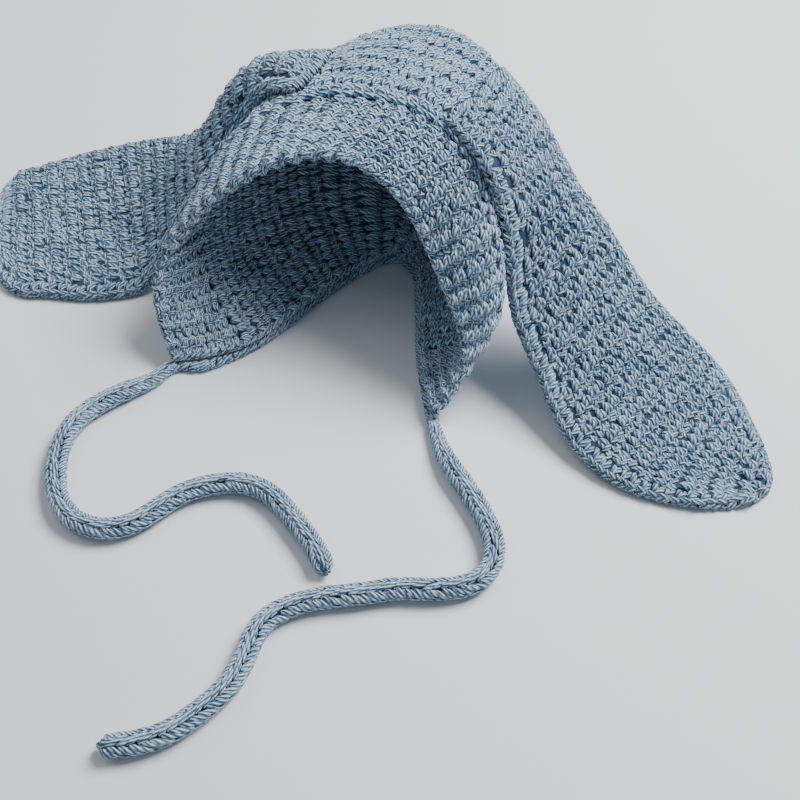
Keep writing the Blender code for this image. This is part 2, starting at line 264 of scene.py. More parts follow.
CHAIN = [
    ((-0.62, -0.16, 0.55), (0.00, -0.30, 1.60), (0.52, 0.04, 0.50), 1.2),
    ((-0.52, 0.04, 0.50), (0.00, 0.30, 1.60), (0.62, 0.16, 0.55), 1.2),
]
BORDER = [
    ((-0.50, -0.50, 0.40), (-0.16, -0.06, 1.06), (0.24, 0.46, 0.45), 1.10),
    ((0.14, -0.50, 0.40), (0.26, 0.04, 0.98), (0.10, 0.52, 0.40), 1.10),
    ((-0.62, 0.30, 0.45), (0.00, 0.52, 1.04), (0.60, 0.40, 0.40), 0.95),
]
ROPE_LEG = [
    ((-1.05, -0.42, 0.55), (0.00, 0.00, 1.00), (1.05, 0.42, 0.55), 1.0),
]
SEWN = [
    ((0.10, 0.60, 0.80), (0.20, -0.10, 0.95), (0.28, -0.48, -0.90), 1.0),
    ((-0.40, 0.60, 0.80), (-0.26, -0.10, 0.95), (-0.20, -0.48, -0.90), 1.0),
]
WRAP_LEG = [
    ((-0.70, -0.72, 0.55), (0.00, 0.00, 1.00), (0.70, 0.72, 0.55), 1.0),
]

# How finely the surfaces, the lines and the cores are read, and the cores' points across and along.
FINE = 600
SHELL_ROWS = 146
SHELL_COLUMNS = 561
EAR_GRID_ROWS = 301
EAR_GRID_COLUMNS = 61
BRIM_CORE_GRID = (281, 18)
CROWN_CORE_GRID = (141, 36)
EAR_CORE_GRID = (34, 150)
ROPE_CORE_SIDES = 12
EDGING_POINTS = 500
FACE_EDGE_POINTS = 600
FOOT_EDGE_POINTS = 300
EAR_EDGE_POINTS = 400
EAR_EDGE_KNOTS = 60
EDGE_STEP = 4

# The step for reading a slope, how far a surface is read past its ends, and the least length that a
# direction is taken from.
NUDGE = 0.05
REACH = 0.014
TINY = 1e-9

# The grid about a rope starts so much of a turn early and goes round so many times.
ROPE_EARLY = 0.25
ROPE_ROUND = 1.5
ROPE_GRID_COLUMNS = 37

# Where each piece's random draws start, and how much later those of its own parts do.
SEEDS = {
    "brim_outside": 10,
    "brim_inside": 20,
    "brim_edge": 30,
    "brim_feet": 600,
    "crown_outside": 50,
    "crown_inside": 60,
    "crown_chain": 70,
    "crown_feet": 640,
    "neck_edging": 500,
    "ear_left": 100,
    "ear_right": 200,
    "tie_left": 300,
    "tie_right": 400,
}
BORDER_LATER = 9
FOOT_LATER = 10
ROOT_LATER = 15
TIP_LATER = 20
UNDER_LATER = 20
EDGE_LATER = 40

# The yarn's colours: its light end, painted highlight on the crests of its plies, its dark end,
# painted shade in the furrows of its twist, and the painted shade of the gaps between strands and of
# the deep parts of the cloth. The strands' own random tone also runs between the light and dark end.
YARN_LIT = (0.575, 0.755, 0.92, 1)
# The ears' light end is darker, as painted shade.
EAR_LIT_SHADED = (0.485, 0.635, 0.77, 1)
YARN_SHADE = (0.045, 0.115, 0.215, 1)
YARN_GAP_SHADE = (0.006, 0.026, 0.062, 1)
YARN_SHEEN = 0.35
EAR_SHEEN = 0.3
SHEEN_ROUGHNESS = 0.45
SHEEN_TINT = (0.85, 0.92, 1.0, 1.0)
SPECULAR = 0.35
# The core's colours, near black, are painted shade between the strands, with a fine grain.
CORE_SHADE_DARK = (0.010, 0.030, 0.060, 1)
CORE_SHADE_PALE = (0.035, 0.080, 0.135, 1)
CORE_GRAIN = 900.0
CORE_ROUGHNESS = 0.95

# The twist: plies round a strand, centimetres for one of them to pass, and how strong its relief is
# and how high, in metres.
PLIES = 4.0
LEAD = 0.42
RELIEF = 0.8
RELIEF_HEIGHT = 0.0008

# What the yarn's light and dark is made of: the share of the plies, whose crests are painted highlight
# and whose furrows are painted shade, of the fibres, of each strand's own tone and of the patches, all
# three the yarn's own random tone, then where it starts and how steep it is.
PLY_SHARE = 0.75
FIBRE_SHARE = 0.7
TONE_SHARE = 0.07
PATCH_SHARE = 0.5
DARK_FROM = 0.36
CONTRAST = 1.45
FIBRE_ALONG = 5.0
FIBRE_ACROSS = 14.0
FIBRE_SCALE = 2.0
FIBRE_HEIGHT = 0.5
PATCH_SCALE = 60.0
# The depths over which a strand goes from the painted shade of the gaps to its own colours.
GAP_DEPTHS = (0.15, 1.0)
DARK_ROUGHNESS = 0.9
LIT_ROUGHNESS = 0.68

# The floor, the sky's light and the lamps, in metres and watts.
FLOOR_SIZE = 8
FLOOR_LEVEL = -0.0002
FLOOR_COLOUR = (0.88, 0.88, 0.89, 1)
FLOOR_ROUGHNESS = 0.8
SKY_COLOUR = (0.76, 0.88, 1.0, 1)
SKY_STRENGTH = 0.24
LAMPS = [
    # name, place, size, power
    ("key", (0.72, 0.62, 1.27), 0.8, 44.0),
    ("fill", (-0.9, 0.2, 1.3), 1.2, 5.0),
]


def natural(knots, values, at):
    """The natural cubic spline through values at knots, read at the parameters given."""
    knots = np.asarray(knots, float)
    values = np.asarray(values, float)
    count = len(knots)
    step = np.diff(knots)
    shape = (-1,) + (1,) * (values.ndim - 1)
    matrix = np.eye(count)
    right = np.zeros_like(values)
    for i in range(1, count - 1):
        matrix[i, i - 1] = step[i - 1]
        matrix[i, i] = 2 * (step[i - 1] + step[i])
        matrix[i, i + 1] = step[i]
        rise = (values[i + 1] - values[i]) / step[i]
        right[i] = 6 * (rise - (values[i] - values[i - 1]) / step[i - 1])
    bend = np.linalg.solve(matrix, right.reshape(count, -1)).reshape(values.shape)
    at = np.asarray(at, float)
    j = np.clip(np.searchsorted(knots, at, side="right") - 1, 0, count - 2)
    width = step[j].reshape(shape)
    a = ((knots[j + 1] - at) / step[j]).reshape(shape)
    b = 1 - a
    sag = ((a**3 - a) * bend[j] + (b**3 - b) * bend[j + 1]) * width**2 / 6
    return a * values[j] + b * values[j + 1] + sag


def unit(vectors):
    """The vectors at length one."""
    return vectors / np.maximum(np.linalg.norm(vectors, axis=-1, keepdims=True), TINY)


def run_length(points):
    """How far along a line each of its points lies."""
    return np.r_[0, np.cumsum(np.linalg.norm(np.diff(points, axis=0), axis=1))]


def even_points(route, count):
    """count points at even steps along the smooth curve through the route's points."""
    route = np.asarray(route, float)
    knots = run_length(route)
    fine = natural(knots, route, np.linspace(0, knots[-1], FINE))
    length = run_length(fine)
    steps = np.linspace(0, length[-1], count)
    return np.stack([np.interp(steps, length, fine[:, c]) for c in range(route.shape[1])], -1)


def world(points):
    """Table centimetres to metres about the origin, nothing below the floor."""
    points = np.array(points, float)
    points[..., 0] += SHIFT_X
    points[..., 1] += SHIFT_Y
    points[..., 2] = np.maximum(points[..., 2], FLOOR_CLEAR)
    return points * CM


def shell_surface(ribs=0, rib_depth=0.0):
    """The bonnet's wall: each hoop is a smooth curve through its points, the hoops are joined by
    smooth curves from the face edge to the back seam, and a cosine wave round it adds the ribs."""
    hoops = np.array([even_points(row[1:], SHELL_COLUMNS) for row in HOOPS])
    knots = [row[0] for row in HOOPS]
    at = np.linspace(0, knots[-1], SHELL_ROWS)
    grid = natural(knots, hoops, at)
    step = natural(knots, hoops, at + NUDGE) - natural(knots, hoops, at - NUDGE)
    normal = unit(np.cross(np.gradient(grid, axis=1), step))
    turn = np.linspace(0, 2 * np.pi * ribs, SHELL_COLUMNS) - np.pi / 2
    return grid + normal * (rib_depth * np.cos(turn))[None, :, None], normal


def ear_surface(sections, skew, ridge_depth):
    """An ear: each section is a smooth curve through its three points, and the sections are joined
    by smooth curves from root to tip, with a cosine wave along it for the ridges, which lean by the
    skew and die away at both edges by a fourth power. Its normals point to the side that faces up.
    Also gives its thickness share and its width along it, and its length."""
    across = np.array([even_points(row[:3], EAR_GRID_COLUMNS) for row in sections])
    knots = run_length(across[:, EAR_GRID_COLUMNS // 2])
    at = np.linspace(0, knots[-1], EAR_GRID_ROWS)
    share = np.interp(at, knots, [row[3] for row in sections])
    grid = natural(knots, across, at)
    normal = unit(np.cross(np.gradient(grid, axis=1), np.gradient(grid, axis=0)))
    normal *= np.sign(normal[..., 2].mean())
    u, v = np.meshgrid(np.linspace(-0.5, 0.5, EAR_GRID_COLUMNS), np.linspace(0, 1, EAR_GRID_ROWS))
    turn = 2 * np.pi * EAR_RIDGES * (v + skew * u) - np.pi / 2
    width = np.linalg.norm(np.diff(grid, axis=1), axis=-1).sum(1)
    ridge = ridge_depth * (1 - (2 * u) ** RIDGE_FADE) * np.cos(turn)
    return (grid + normal * ridge[..., None], normal), share, width, knots[-1]


def round_line(points, wide, tall, turn):
    """Rings about a line: at each point an ellipse of half width wide and half height tall, square
    to the line, read at the angles given. Also the ways that it faces."""
    along = unit(np.gradient(points, axis=0))
    side = unit(np.cross(along, (0.0, 0.0, 1.0)))
    up = np.cross(side, along)
    turn = turn[None, :, None]
    wide = np.broadcast_to(wide, len(points))[:, None, None]
    tall = np.broadcast_to(tall, len(points))[:, None, None]
    round_side = np.cos(turn) * side[:, None]
    round_up = np.sin(turn) * up[:, None]
    grid = points[:, None] + wide * round_side + tall * round_up
    return grid, unit(round_side / wide + round_up / tall)


def rope_surface(points, wide, tall):
    """A tube about a line, whose grid goes round more than once so that strands may cross the
    join."""
    turns = np.linspace(-ROPE_EARLY, ROPE_ROUND - ROPE_EARLY, ROPE_GRID_COLUMNS)
    return round_line(points, wide, tall, turns * 2 * np.pi)


def read(surface, u, v):
    """Places and unit normals of a surface at u across it and v along it, each 0 to 1, weighed
    from the four grid points about each. They end REACH beyond the surface's ends."""
    rows, columns = surface[0].shape[:2]
    x, y = u * (columns - 1), np.clip(v, -REACH, 1 + REACH) * (rows - 1)
    i = np.clip(np.floor(x).astype(int), 0, columns - 2)
    j = np.clip(np.floor(y).astype(int), 0, rows - 2)
    across, along = (x - i)[..., None], (y - j)[..., None]
    found = []
    for grid in surface:
        low = grid[j, i] * (1 - across) + grid[j, i + 1] * across
        high = grid[j + 1, i] * (1 - across) + grid[j + 1, i + 1] * across
        found.append(low * (1 - along) + high * along)
    return found[0], unit(found[1])


def tube_faces(total, rings, sides):
    """The faces of as many tubes as total, of rings with so many sides each: four corners to a
    face, first the walls between the rings and then the caps at both ends."""
    index = np.arange(total * rings * sides).reshape(total, rings, sides)
    near, far = index[:, :-1], index[:, 1:]
    walls = np.stack([near, far, np.roll(far, -1, 2), np.roll(near, -1, 2)], -1).reshape(-1, 4)
    corners = np.array(CAP_CORNERS[sides])
    first = index[:, 0][:, corners].reshape(-1, 4)
    last = index[:, -1][:, corners[:, ::-1]].reshape(-1, 4)
    return walls, np.r_[first, last]


def tube_uv(length, begin, rings, sides, caps):
    """The way along the yarn in centimetres from each tube's own beginning, and the share of a
    turn about it, for each corner of the tubes' faces."""
    x = begin[:, None] + np.linspace(0, 1, rings) * length[:, None]
    x = np.broadcast_to(x[..., None], (len(length), rings, sides))
    y = np.broadcast_to(np.arange(sides) / sides, x.shape)
    near_x, far_x, near_y = x[:, :-1], x[:, 1:], y[:, :-1]
    far_y = near_y + 1 / sides
    corners = [(near_x, near_y), (far_x, near_y), (far_x, far_y), (near_x, far_y)]
    walls = np.stack([np.stack(corner, -1) for corner in corners], -2).reshape(-1, 4, 2)
    return np.r_[walls, np.stack([x.reshape(-1)[caps], y.reshape(-1)[caps]], -1)]


def strands(surface, cells, legs, half, seed, face=1, sides=STRAND_SIDES, radius=YARN_RADIUS, loose=1):
    """Short lengths of yarn on a surface. Each strand of each cell is a parabola through its three
    places, and a ring of points about it is carried from end to end, thinner at both ends. A cell
    is (u, v, u a stitch, v a stitch, u a row, v a row)."""
    chance = np.random.default_rng(seed)
    legs = np.array([np.r_[np.ravel(leg[:3]), leg[3]] for leg in legs])
    start, middle, end = legs[:, 0:3], legs[:, 3:6], legs[:, 6:9]
    rings = STRAND_SPANS + 1
    t = np.linspace(0, 1, rings)[None, :, None]
    bend = 2 * middle - (start + end) / 2
    curve = (1 - t) ** 2 * start[:, None] + 2 * t * (1 - t) * bend[:, None] + t**2 * end[:, None]
    count = (len(cells), len(legs))
    jitter = chance.normal(0, 1, count + (1, 3)) * LEG_JITTER
    jitter = loose * (jitter + chance.normal(0, 1, (len(cells), 1, 1, 3)) * STITCH_JITTER)
    place = curve[None] + jitter
    cell = cells[:, None, None]
    u = cell[..., 0] + place[..., 0] * cell[..., 2] + place[..., 1] * cell[..., 4]
    v = cell[..., 1] + place[..., 0] * cell[..., 3] + place[..., 1] * cell[..., 5]
    at, normal = read(surface, u, v)
    half = half(v) if callable(half) else half
    centre = at + normal * (face * place[..., 2] * half)[..., None]
    along = unit(np.gradient(centre, axis=2))
    side = unit(np.cross(along, normal * face))
    up = np.cross(side, along)
    turn = np.arange(sides) * 2 * np.pi / sides
    taper = STRAND_END + (1 - STRAND_END) * np.sin(np.pi * t[..., 0]) ** STRAND_POWER
    thick = radius * legs[:, 9][None, :, None] * taper[None]
    thick = thick * chance.uniform(*THICKNESS_RANGE, count + (1,))
    ring = np.cos(turn)[:, None] * side[..., None, :] + np.sin(turn)[:, None] * up[..., None, :]
    points = centre[..., None, :] + thick[..., None, None] * ring
    total = count[0] * count[1]
    walls, caps = tube_faces(total, rings, sides)
    length = np.linalg.norm(np.diff(centre, axis=2), axis=-1).sum(2).reshape(-1)
    begin = chance.uniform(0, SKEIN_LENGTH, total)
    # How deep each point lies, more so on a strand's inner side: painted shade in the material.
    depth = place[..., 2][..., None] + np.sin(turn) * ROUND_DEPTH
    return {
        "points": world(points).reshape(-1, 3),
        "faces": np.r_[walls, caps],
        "uv": tube_uv(length, begin, rings, sides, caps),
        "tone": np.repeat(chance.normal(0, 1, total), rings * sides),
        "depth": np.clip(depth, 0, MOST_DEPTH).reshape(-1),
    }


def plain_part(points, faces):
    """Points and faces with the same uv, tone and depth all over."""
    return {
        "points": points,
        "faces": faces,
        "uv": np.zeros((len(faces), 4, 2)),
        "tone": np.zeros(len(points)),
        "depth": np.zeros(len(points)),
    }


def merged(parts):
    """Several parts as one."""
    offset = np.cumsum([0] + [len(part["points"]) for part in parts])
    keys = ("points", "uv", "tone", "depth")
    together = {key: np.concatenate([part[key] for part in parts]) for key in keys}
    together["faces"] = np.concatenate([part["faces"] + start for part, start in zip(parts, offset)])
    return together


def cloth_slab(surface, v_range, grid, half):
    """The cloth's plain core: the surface moved out and in by half its thickness, with a rim."""
    columns, rows = grid
    u, v = np.meshgrid(np.linspace(0, 1, columns), np.linspace(*v_range, rows))
    at, normal = read(surface, u, v)
    half = (half(v) if callable(half) else np.full(v.shape, half))[..., None]
    index = np.arange(2 * rows * columns).reshape(2, rows, columns)
    corners = (index[:, :-1, :-1], index[:, :-1, 1:], index[:, 1:, 1:], index[:, 1:, :-1])
    outer, inner = np.stack([c.reshape(2, -1) for c in corners], -1)
    top, low = index
    rim = np.r_[top[0, :-1], top[:-1, -1], top[-1, :0:-1], top[:0:-1, 0]]
    under = np.r_[low[0, :-1], low[:-1, -1], low[-1, :0:-1], low[:0:-1, 0]]
    side = np.stack([rim, under, np.roll(under, -1), np.roll(rim, -1)], -1)
    points = world(np.stack([at + half * normal, at - half * normal])).reshape(-1, 3)
    faces = np.r_[outer, inner[:, ::-1], side]
    first = points[faces[: len(outer)]]
    facing = np.cross(first[:, 1] - first[:, 0], first[:, 2] - first[:, 1])
    if np.einsum("ij,ij->", facing, normal[:-1, :-1].reshape(-1, 3)) < 0:
        faces = faces[:, ::-1]
    return plain_part(points, faces)


def rope_core(points, wide, tall):
    """A closed tube about a line: an ellipse at each point, the ends drawn to their middles."""
    sides = ROPE_CORE_SIDES
    ring, _ = round_line(points, wide, tall, np.arange(sides) * 2 * np.pi / sides)
    tips = np.stack([np.repeat(points[:1], sides, 0), np.repeat(points[-1:], sides, 0)])
    ring = np.r_[tips[:1], ring, tips[1:]]
    index = np.arange(ring.shape[0] * sides).reshape(-1, sides)
    near, far = index[:-1], index[1:]
    faces = np.stack([near, far, np.roll(far, -1, 1), np.roll(near, -1, 1)], -1).reshape(-1, 4)
    return plain_part(world(ring).reshape(-1, 3), faces)


def rope_parts(path, wide, tall, stitch, columns, seed, wrapping=False):
    """The strands of a rope: columns of slanting legs round it. Those of a braided rope lean the
    other way in every other column, those that wrap an edge all lean one way."""
    surface = rope_surface(path, wide, tall)
    count = max(2, round(run_length(path)[-1] / stitch))
    legs, inset, loose = (WRAP_LEG, WRAP_INSET, WRAP_LOOSE) if wrapping else (ROPE_LEG, ROPE_INSET, 1)
    found = []
    for column in range(columns):
        slant = 1 if column % 2 or wrapping else -1
        steps = np.arange(count) + ROW_STAGGER * (1 + column % 2)
        cells = np.zeros((count, 6))
        cells[:, 0] = ((column + 0.5) / columns + ROPE_EARLY) / ROPE_ROUND
        cells[:, 1] = (1 - inset / count) * steps / count
        cells[:, 3] = 1 / count
        cells[:, 4] = slant / columns / ROPE_ROUND
        found.append(strands(surface, cells, legs, 0.0, seed + column, loose=loose))
    return merged(found)


def edge_wraps(line, half, seed):
    """The strands that wrap an edge, whose middles stand half off its line."""
    return rope_parts(line, half, half, WRAP_STITCH, WRAP_COLUMNS, seed, wrapping=True)


def foot_wraps(surface, begin, end, half, seed):
    """The strands that wrap the wall's two lower edges, from begin to end of its depth."""
    last = SHELL_ROWS - 1
    rows = slice(round(begin * last), round(end * last) + 1)
    found = []
    for turn, column in enumerate((0, -1)):
        line = even_points(surface[0][rows, column][::EDGE_STEP], FOOT_EDGE_POINTS)
        line = line - (0, 0, FOOT_DROP)
        found.append(edge_wraps(line, EDGE_SHARE * half, seed + FOOT_LATER * turn))
    return merged(found)


def piece(name, parts, materials, node=None):
    """One mesh of all the parts, each with the material of its own place in the list."""
    together = merged(parts)
    points, faces = together["points"], together["faces"]
    which = np.repeat(np.arange(len(parts)), [len(part["faces"]) for part in parts])
    mesh = bpy.data.meshes.new(name)
    mesh.vertices.add(len(points))
    mesh.vertices.foreach_set("co", points.ravel())
    mesh.loops.add(faces.size)
    mesh.loops.foreach_set("vertex_index", faces.astype(np.int32).ravel())
    mesh.polygons.add(len(faces))
    mesh.polygons.foreach_set("loop_start", np.arange(0, faces.size, 4, dtype=np.int32))
    mesh.polygons.foreach_set("material_index", which.astype(np.int32))
    mesh.polygons.foreach_set("use_smooth", np.ones(len(faces), bool))
    uv = together["uv"].astype(np.float32)
    mesh.uv_layers.new(name="strand").data.foreach_set("uv", uv.ravel())
    for key in ("tone", "depth"):
        values = together[key].astype(np.float32)
        mesh.attributes.new(key, "FLOAT", "POINT").data.foreach_set("value", values)
    mesh.update(calc_edges=True)
    for material in materials:
        mesh.materials.append(material)
    obj = bpy.data.objects.new(name, mesh)
    bpy.context.scene.collection.objects.link(obj)
    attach(obj, "root")
    if node:
        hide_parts(node)
    return obj


def wire(tree, kind, inputs=None, **settings):
    """A node with its settings, its inputs given as values or as sockets to link from."""
    node = tree.nodes.new(kind)
    for key, value in settings.items():
        setattr(node, key, value)
    for key, value in (inputs or {}).items():
        if isinstance(value, bpy.types.NodeSocket):
            tree.links.new(value, node.inputs[key])
        else:
            node.inputs[key].default_value = value
    return node


def yarn_group():
    """Twisted yarn. Plies are a sine of the turn about the strand plus the way along it, painted
    lighter on their crests and darker in their furrows as painted highlight and shade, and raised by
    a bump; fibres are fine noise drawn out along it, and deep parts go toward the painted shade of the
    gaps."""
    group = bpy.data.node_groups.new("twisted_yarn", "ShaderNodeTree")
    face = group.interface
    for name in ("Lit", "Shade", "Gap_shade"):
        face.new_socket(name=name, in_out="INPUT", socket_type="NodeSocketColor")
    for name in ("Plies", "Lead", "Relief"):
        face.new_socket(name=name, in_out="INPUT", socket_type="NodeSocketFloat")
    face.new_socket(name="Colour", in_out="OUTPUT", socket_type="NodeSocketColor")
    face.new_socket(name="Roughness", in_out="OUTPUT", socket_type="NodeSocketFloat")
    face.new_socket(name="Normal", in_out="OUTPUT", socket_type="NodeSocketVector")
    given = group.nodes.new("NodeGroupInput").outputs
    result = group.nodes.new("NodeGroupOutput")

    def sums(operation, *terms):
        """A sum of one to three terms."""
        return wire(group, "ShaderNodeMath", dict(enumerate(terms)), operation=operation).outputs[0]

    def noise(place, scale, detail):
        """Plain noise at a place, near one half on the average."""
        values = {"Vector": place, "Scale": scale, "Detail": detail}
        return wire(group, "ShaderNodeTexNoise", values).outputs[0]

    def mixed(share, one, other):
        """One colour, going over to the other by the share."""
        return wire(group, "ShaderNodeMix", {0: share, 6: one, 7: other}, data_type="RGBA").outputs[2]

    uv = wire(group, "ShaderNodeUVMap", uv_map="strand").outputs[0]
    along, about = wire(group, "ShaderNodeSeparateXYZ", {0: uv}).outputs[:2]
    turns = sums("ADD", sums("MULTIPLY", about, given["Plies"]), sums("DIVIDE", along, given["Lead"]))
    wave = sums("SINE", sums("MULTIPLY", turns, 2 * np.pi))
    plies = sums("MULTIPLY_ADD", wave, 0.5, 0.5)
    stretch = {0: sums("MULTIPLY", along, FIBRE_ALONG), 1: sums("MULTIPLY", about, FIBRE_ACROSS)}
    drawn = wire(group, "ShaderNodeCombineXYZ", stretch).outputs[0]
    fibres = noise(drawn, FIBRE_SCALE, 3.0)
    patches = noise(wire(group, "ShaderNodeTexCoord").outputs["Object"], PATCH_SCALE, 2.0)
    tone = wire(group, "ShaderNodeAttribute", attribute_name="tone").outputs["Fac"]
    depth = wire(group, "ShaderNodeAttribute", attribute_name="depth").outputs["Fac"]
    # The plies' crests and furrows are painted highlight and shade; fibres, tone and patches are the
    # yarn's own.
    light = sums("ADD", sums("MULTIPLY", plies, PLY_SHARE), sums("MULTIPLY", fibres, FIBRE_SHARE))
    light = sums("ADD", light, sums("MULTIPLY", tone, TONE_SHARE))
    light = sums("ADD", light, sums("MULTIPLY", sums("SUBTRACT", patches, 0.5), PATCH_SHARE))
    light = sums("MULTIPLY", sums("SUBTRACT", light, DARK_FROM), CONTRAST)
    # Deep points go toward the painted shade of the gaps.
    least, most = GAP_DEPTHS
    levels = {0: depth, 1: least, 2: most, 3: 0.0, 4: 1.0}
    out = wire(group, "ShaderNodeMapRange", levels, interpolation_type="SMOOTHSTEP").outputs[0]
    colour = mixed(out, given["Gap_shade"], mixed(light, given["Shade"], given["Lit"]))
    levels = {0: light, 1: 0.0, 2: 1.0, 3: DARK_ROUGHNESS, 4: LIT_ROUGHNESS}
    rough = wire(group, "ShaderNodeMapRange", levels).outputs[0]
    height = sums("ADD", plies, sums("MULTIPLY", fibres, FIBRE_HEIGHT))
    relief = {"Strength": given["Relief"], "Distance": RELIEF_HEIGHT, "Height": height}
    bump = wire(group, "ShaderNodeBump", relief).outputs[0]
    group.links.new(colour, result.inputs["Colour"])
    group.links.new(rough, result.inputs["Roughness"])
    group.links.new(bump, result.inputs["Normal"])
    return group


def new_material(name):
    """A material with its tree of nodes and its shader."""
    material = bpy.data.materials.new(name)
    material.use_nodes = True
    tree = material.node_tree
    return material, tree, tree.nodes["Principled BSDF"]


def yarn_material(name, group, lit, sheen):
    """Soft yarn with a faint bloom, coloured by the shared twisted yarn."""
    material, tree, shader = new_material(name)
    values = {"Lit": lit, "Shade": YARN_SHADE, "Gap_shade": YARN_GAP_SHADE}
    values.update({"Plies": PLIES, "Lead": LEAD, "Relief": RELIEF})
    yarn = wire(tree, "ShaderNodeGroup", node_tree=group)
    for key, value in values.items():
        yarn.inputs[key].default_value = value
    tree.links.new(yarn.outputs["Colour"], shader.inputs["Base Color"])
    tree.links.new(yarn.outputs["Roughness"], shader.inputs["Roughness"])
    tree.links.new(yarn.outputs["Normal"], shader.inputs["Normal"])
    shader.inputs["Sheen Weight"].default_value = sheen
    shader.inputs["Sheen Roughness"].default_value = SHEEN_ROUGHNESS
    shader.inputs["Sheen Tint"].default_value = SHEEN_TINT
    shader.inputs["Specular IOR Level"].default_value = SPECULAR
    return material


def shade_core_material():
    """The inside of the cloth, seen between the strands, painted near black as painted shade, with a
    grain.
    """
    material, tree, shader = new_material("yarn_core_painted_shade")
    place = wire(tree, "ShaderNodeTexCoord").outputs["Object"]
    values = {"Vector": place, "Scale": CORE_GRAIN, "Detail": 2.0}
    grain = wire(tree, "ShaderNodeTexNoise", values).outputs[0]
    colours = {0: grain, 6: CORE_SHADE_DARK, 7: CORE_SHADE_PALE}
    colour = wire(tree, "ShaderNodeMix", colours, data_type="RGBA").outputs[2]
    tree.links.new(colour, shader.inputs["Base Color"])
    shader.inputs["Roughness"].default_value = CORE_ROUGHNESS
    return material


def tie_share(length):
    """A tie's thickness so far from its root, as a share: a smooth step up to one."""
    part = np.clip(length / TIE_TAPER_LENGTH, 0, 1)
    return TIE_ROOT_SHARE + (1 - TIE_ROOT_SHARE) * part * part * (3 - 2 * part)


def tie(name, route, materials):
    """A round tie of looped yarn, thinner where it leaves the edging, with strands tucked into its
    end, which is rounded off as a quarter circle is."""
    fine = even_points(route, TIE_POINTS * TIE_FINER)
    length = run_length(fine)
    share = tie_share(length)
    line = np.c_[fine, TIE_RADIUS * share]
    end = np.clip((length[-1] - length) / TIE_END, 0, 1)
    over = (TIE_RADIUS - YARN_RADIUS) * share * np.sqrt(np.clip(end * (2 - end), TIE_END_LEAST, 1))
    looped = rope_parts(line, over, over, ROPE_STITCH, ROPE_COLUMNS, SEEDS[name])
    tip, inner = line[-TIE_TIP:], TIP_SHARE * over[-TIE_TIP:]
    tucked = rope_parts(tip, inner, inner, WRAP_STITCH, ROPE_COLUMNS, SEEDS[name] + TIP_LATER)
    core = rope_core(line, over * TIE_CORE_SHARE, over * TIE_CORE_SHARE)
    parts = [core, merged([looped, tucked])]
    obj = piece(name + "_yarn", parts, materials, node=name)
    points = even_points(route, TIE_POINTS)
    flat_length = run_length(points)
    path = world(np.c_[points, TIE_RADIUS * tie_share(flat_length)])


def neck_edging(materials):
    """The rope that the bonnet stands on, wrapped with slanting strands."""
    route = even_points(EDGING_ROUTE, EDGING_POINTS)
    line = np.c_[route, np.full(len(route), EDGING_HEIGHT / 2)]
    wide = EDGING_HALF_WIDTH - YARN_RADIUS
    tall = EDGING_HEIGHT / 2 - YARN_RADIUS * EDGING_YARN_SHARE
    rope = rope_parts(line, wide, tall, WRAP_STITCH, ROPE_COLUMNS, SEEDS["neck_edging"], wrapping=True)
    core = rope_core(line, wide * EDGING_CORE_SHARE, tall * EDGING_CORE_SHARE)
    piece("neck_edging_rope", [core, rope], materials, node="neck_edging")


def brim_cells():
    """Stitches of the brim: a row for each half rib, running from the face edge to the crown."""
    rows = 2 * BRIM_RIBS
    depth = BRIM_DEPTH / HOOPS[-1][0]
    row, stitch = np.meshgrid(np.arange(rows), np.arange(BRIM_STITCHES), indexing="ij")
    steps = (stitch + 0.5 + ROW_STAGGER * (row % 2)) / (BRIM_STITCHES + ROW_STAGGER)
    cells = np.zeros((rows, BRIM_STITCHES, 6))
    cells[..., 0] = (row + 0.5) / rows
    cells[..., 1] = steps * depth
    cells[..., 3] = depth / BRIM_STITCHES
    cells[..., 4] = 1 / rows
    return list(cells)


def crown_cells():
    """Stitches of the crown: rows along the hoops, from the brim to the back seam."""
    hoops = [run_length(even_points(row[1:], SHELL_COLUMNS))[-1] for row in HOOPS]
    knots = [row[0] for row in HOOPS]
    last = knots[-1]
    step = (last - CROWN_FIRST) / CROWN_ROWS
    rows = []
    for row in range(CROWN_ROWS):
        at = CROWN_FIRST + (row + 0.5) * step
        count = round(np.interp(at, knots, hoops) / CROWN_STITCH)
        cells = np.zeros((count, 6))
        cells[:, 0] = (np.arange(count) + 0.5 + ROW_STAGGER * (row % 2)) / (count + ROW_STAGGER)
        cells[:, 1] = at / last
        cells[:, 2] = 1 / count
        cells[:, 5] = step / last
        rows.append(cells)
    return rows


def line_cells(count, v, row):
    """count stitches side by side across a surface at v along it, each a row high."""
    cells = np.zeros((count, 6))
    cells[:, 0] = (np.arange(count) + 0.5) / count
    cells[:, 1] = v
    cells[:, 2] = 1 / count
    cells[:, 5] = row
    return cells


def chain_cells():
    """The chain of bigger stitches on the crown beside the brim."""
    hoop = run_length(even_points(HOOPS[1][1:], SHELL_COLUMNS))[-1]
    depth = HOOPS[-1][0]
    return line_cells(round(hoop / CHAIN_STITCH), CHAIN_AT / depth, CHAIN_STITCH / depth)


